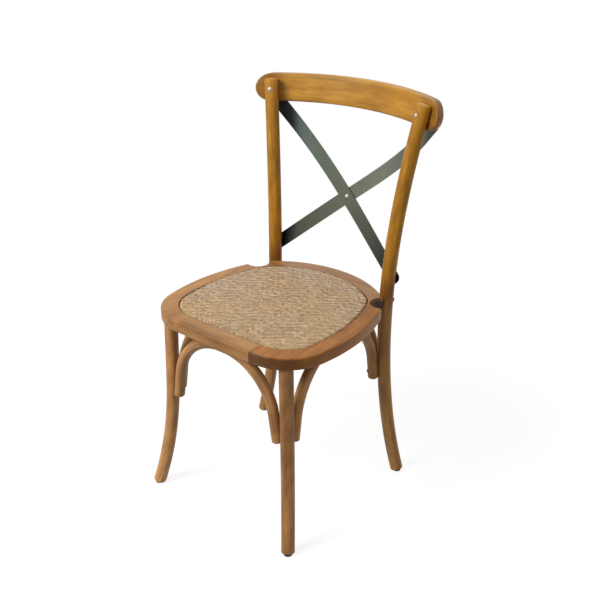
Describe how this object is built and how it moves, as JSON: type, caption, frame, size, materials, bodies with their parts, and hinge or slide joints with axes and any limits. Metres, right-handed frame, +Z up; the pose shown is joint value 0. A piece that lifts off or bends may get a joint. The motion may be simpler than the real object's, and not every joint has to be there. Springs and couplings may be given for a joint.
{
  "type": "cross back dining chair",
  "caption": "Bentwood dining chair with round splayed legs, hooped braces, a woven seat panel and a steel cross back under a curved crest rail.",
  "frame": {"origin": "on the floor under the middle of the chair's overall box", "axes": "+Z up along the height, the sitter faces -Y, +X towards the sitter's left hand"},
  "size_m": [0.486, 0.5299, 0.8796],
  "materials": {
    "stained_wood": "satin",
    "plywood": "matt",
    "woven_rattan": "matt",
    "strap_steel": "satin",
    "plated_steel": "satin",
    "dark_plastic": "matt"
  },
  "bodies": {
    "root": {"crest_rail": "stained_wood", "back_leg_left": "stained_wood", "back_leg_right": "stained_wood", "front_leg_left": "stained_wood", "front_leg_right": "stained_wood", "front_rail": "stained_wood", "rear_rail": "stained_wood", "left_rail": "stained_wood", "right_rail": "stained_wood", "frame_dowels": "stained_wood", "front_brace": "stained_wood", "rear_brace": "stained_wood", "left_brace": "stained_wood", "right_brace": "stained_wood", "seat_board": "plywood", "woven_panel": "woven_rattan", "cross_strap_front": "strap_steel", "cross_strap_rear": "strap_steel", "cross_rivet": "plated_steel", "strap_low_screws": "plated_steel", "strap_high_screws": "plated_steel", "crest_screws": "plated_steel", "brace_leg_screws": "plated_steel", "brace_top_screws": "plated_steel", "board_screws": "plated_steel", "seat_bolts": "plated_steel", "foot_glides": "dark_plastic"}
  },
  "joints": []
}
